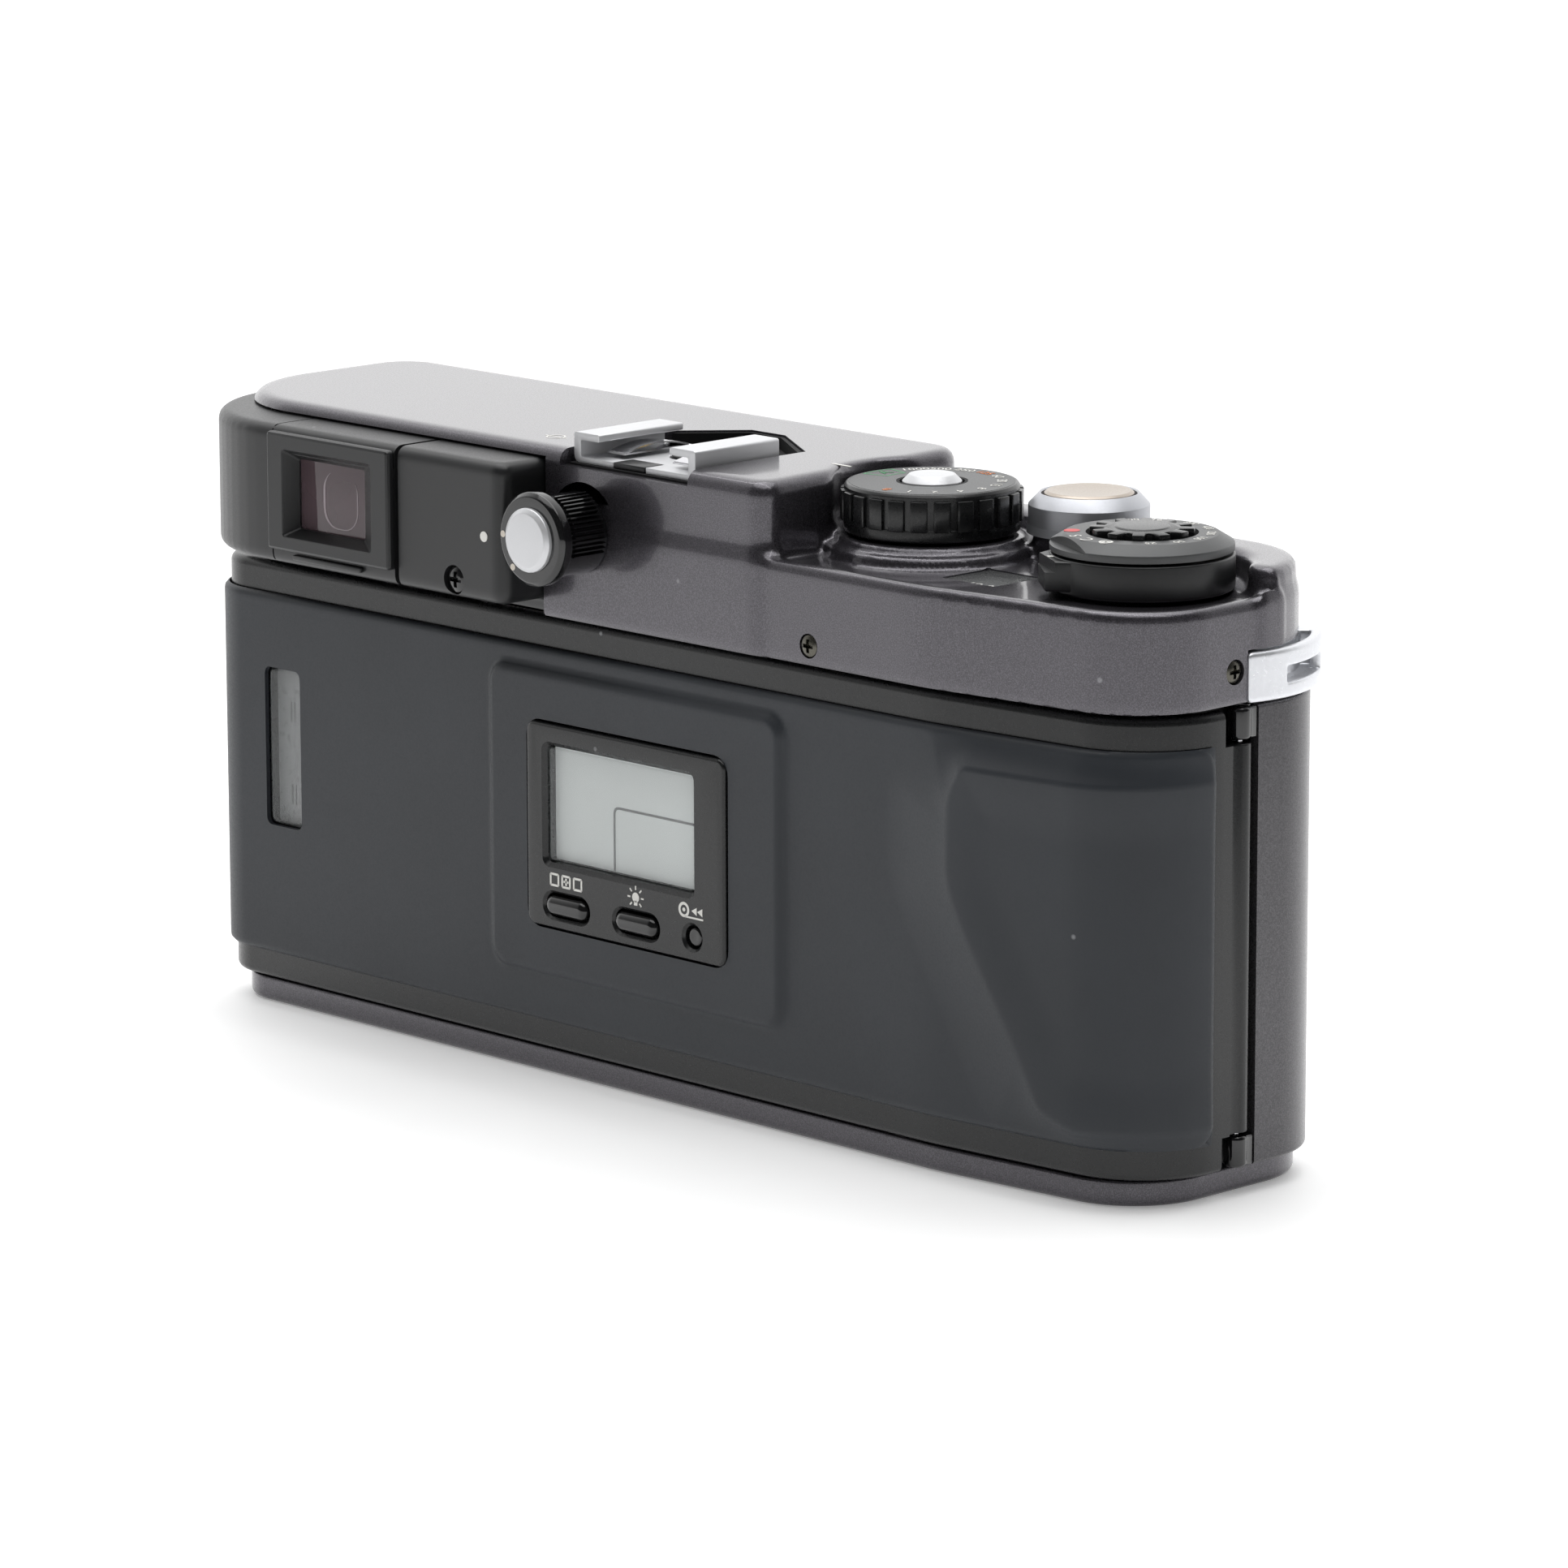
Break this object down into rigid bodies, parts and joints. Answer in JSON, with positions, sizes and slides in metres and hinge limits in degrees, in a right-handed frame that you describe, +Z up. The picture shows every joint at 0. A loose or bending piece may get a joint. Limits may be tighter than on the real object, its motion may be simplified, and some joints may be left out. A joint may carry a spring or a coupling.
{
  "type": "rangefinder camera",
  "caption": "Wide-format rangefinder camera body with hinged film door, display, accessory shoe, dials, open lens mount and strap lugs.",
  "frame": {"origin": "on the underside of the base plate, near the lens axis and between the front and the back", "axes": "+X towards the viewfinder end (the viewer's left), +Y towards the film door (the back), +Z up"},
  "size_m": [0.1684, 0.0509, 0.082],
  "materials": {
    "dark_metal": "fine metallic dark warm-grey paint, satin",
    "black_metal": "satin black paint",
    "black_plastic": "satin black moulding",
    "rubber": "matte blue-black rubber with fine grain",
    "satin_silver": "satin silver",
    "champagne": "satin champagne anodised",
    "glass": "clear, faintly coated",
    "display": "light grey display cover",
    "brass": "plated contact metal",
    "steel": "bright bent sheet and turned steel",
    "cast_alloy": "black-finished die casting",
    "circuit": "solder-masked board",
    "cell_label": "plain printed sleeve"
  },
  "bodies": {
    "camera_body": {"main_frame": "cast_alloy", "front_cover": "dark_metal", "grip_rubber": "rubber", "front_rubber": "rubber", "bottom_plate": "dark_metal", "top_cover": "dark_metal", "viewfinder_housing": "black_plastic", "eyepiece_bezel": "black_plastic", "eyepiece_glass": "glass", "viewfinder_window": "glass", "illumination_window": "glass", "rangefinder_window": "glass", "beam_splitter_prism": "glass", "lens_mount_ring": "steel", "mount_throat": "black_metal", "lens_contacts": "brass", "shutter_frame": "black_metal", "drive_motor": "steel", "battery_cell_1": "cell_label", "battery_cell_2": "cell_label", "tripod_socket": "steel", "sync_socket": "steel", "cable_release_socket": "steel", "circuit_board": "circuit", "hinge_pin": "steel", "accessory_shoe": "steel", "shoe_spring": "steel", "hot_contact": "black_plastic", "shutter_collar": "satin_silver", "mode_plate": "black_metal", "frame_counter_window": "glass", "strap_lug_right": "satin_silver", "strap_lug_left": "satin_silver", "cover_screw_1": "black_metal", "cover_screw_2": "black_metal"},
    "door": {"back_door": "black_metal", "door_rubber": "rubber", "film_window": "glass", "lcd_bezel": "black_plastic", "lcd_glass": "display"},
    "film_plate": {"pressure_plate": "black_metal"},
    "bracketing_key": {"aeb_button": "black_plastic"},
    "lamp_key": {"light_button": "black_plastic"},
    "rewind_key": {"rewind_button": "satin_silver"},
    "latch": {"door_latch": "black_metal"},
    "release_key": {"shutter_button": "champagne"},
    "speed_dial": {"shutter_speed_dial": "black_metal"},
    "dial_lock": {"dial_lock_button": "satin_silver"},
    "drive_ring": {"drive_lever": "black_metal"},
    "film_speed": {"film_speed_knob": "black_metal"},
    "format_switch": {"format_knob": "black_metal"},
    "lens_key": {"lens_release_button": "satin_silver"},
    "battery_cap": {"battery_cover": "black_metal"},
    "spool": {"take_up_spool": "black_plastic"},
    "sprocket": {"film_sprocket": "black_metal"},
    "fork": {"rewind_fork": "steel"},
    "blade_1": {"shutter_blade_1": "black_metal"},
    "blade_2": {"shutter_blade_2": "black_metal"},
    "blade_3": {"shutter_blade_3": "black_metal"},
    "focus_follower": {"rangefinder_lever": "steel"}
  },
  "joints": [
    {"name": "door_hinge", "type": "hinge", "parent": "camera_body", "child": "door", "pos_m": [-0.0818, -0.0002, 0.031], "axis": [0, 0, 1], "range_deg": [0, 110]},
    {"name": "film_plate_slide", "type": "slide", "parent": "door", "child": "film_plate", "axis": [0, 1, 0], "range_m": [0, 0.0004], "stiffness_N_per_m": 600},
    {"name": "bracketing_key_press", "type": "slide", "parent": "door", "child": "bracketing_key", "axis": [0, -1, 0], "range_m": [0, 0.0005], "stiffness_N_per_m": 400},
    {"name": "lamp_key_press", "type": "slide", "parent": "door", "child": "lamp_key", "axis": [0, -1, 0], "range_m": [0, 0.0005], "stiffness_N_per_m": 400},
    {"name": "rewind_key_press", "type": "slide", "parent": "door", "child": "rewind_key", "axis": [0, -1, 0], "range_m": [0, 0.0004], "stiffness_N_per_m": 400},
    {"name": "latch_slide", "type": "slide", "parent": "camera_body", "child": "latch", "axis": [0, 0, -1], "range_m": [0, 0.0045], "stiffness_N_per_m": 150, "springref_m": -0.0005},
    {"name": "release_press", "type": "slide", "parent": "camera_body", "child": "release_key", "axis": [0, 0, -1], "range_m": [0, 0.0008], "stiffness_N_per_m": 500, "springref_m": -0.0003},
    {"name": "speed_dial_turn", "type": "hinge", "parent": "camera_body", "child": "speed_dial", "pos_m": [-0.0323, 0.0005, 0.076], "axis": [0, 0, 1], "range_deg": [-30, 300]},
    {"name": "dial_lock_press", "type": "slide", "parent": "speed_dial", "child": "dial_lock", "axis": [0, 0, -1], "range_m": [0, 0.0008], "stiffness_N_per_m": 300, "springref_m": -0.0003},
    {"name": "drive_ring_turn", "type": "hinge", "parent": "camera_body", "child": "drive_ring", "pos_m": [-0.0675, 0.0012, 0.073], "axis": [0, 0, 1], "range_deg": [0, 75]},
    {"name": "film_speed_turn", "type": "hinge", "parent": "camera_body", "child": "film_speed", "pos_m": [-0.0675, 0.0012, 0.078], "axis": [0, 0, 1], "range_deg": [-150, 150]},
    {"name": "format_switch_turn", "type": "hinge", "parent": "camera_body", "child": "format_switch", "pos_m": [0.008, 0.025, 0.0703], "axis": [0, -1, 0], "range_deg": [0, 60]},
    {"name": "lens_key_press", "type": "slide", "parent": "camera_body", "child": "lens_key", "axis": [0, 1, 0], "range_m": [0, 0.0015], "stiffness_N_per_m": 400},
    {"name": "battery_cap_turn", "type": "hinge", "parent": "camera_body", "child": "battery_cap", "pos_m": [-0.07, -0.0082, 0.002], "axis": [0, 0, 1], "range_deg": [0, 60]},
    {"name": "spool_turn", "type": "hinge", "parent": "camera_body", "child": "spool", "pos_m": [-0.056, 0.006, 0.032], "axis": [0, 0, 1], "continuous": true},
    {"name": "sprocket_turn", "type": "hinge", "parent": "camera_body", "child": "sprocket", "pos_m": [-0.0386, 0.0072, 0.031], "axis": [0, 0, 1], "continuous": true},
    {"name": "fork_turn", "type": "hinge", "parent": "camera_body", "child": "fork", "pos_m": [0.06, 0.0043, 0.055], "axis": [0, 0, 1], "continuous": true},
    {"name": "blade_1_drop", "type": "slide", "parent": "camera_body", "child": "blade_1", "axis": [0, 0, -1], "range_m": [0, 0.0258], "stiffness_N_per_m": 5, "springref_m": -0.01},
    {"name": "blade_2_drop", "type": "slide", "parent": "camera_body", "child": "blade_2", "axis": [0, 0, -1], "range_m": [0, 0.0176]},
    {"name": "blade_3_drop", "type": "slide", "parent": "camera_body", "child": "blade_3", "axis": [0, 0, -1], "range_m": [0, 0.0094]},
    {"name": "focus_follower_swing", "type": "hinge", "parent": "camera_body", "child": "focus_follower", "pos_m": [0.00075, -0.0075, 0.0534], "axis": [1, 0, 0], "range_deg": [0, 10], "stiffness_Nm_per_rad": 0.01}
  ],
  "couplings": [
    {"joint": "blade_2_drop", "follows": "blade_1_drop", "ratio": 0.68217},
    {"joint": "blade_3_drop", "follows": "blade_1_drop", "ratio": 0.36434},
    {"joint": "sprocket_turn", "follows": "spool_turn", "ratio": 1.06}
  ]
}
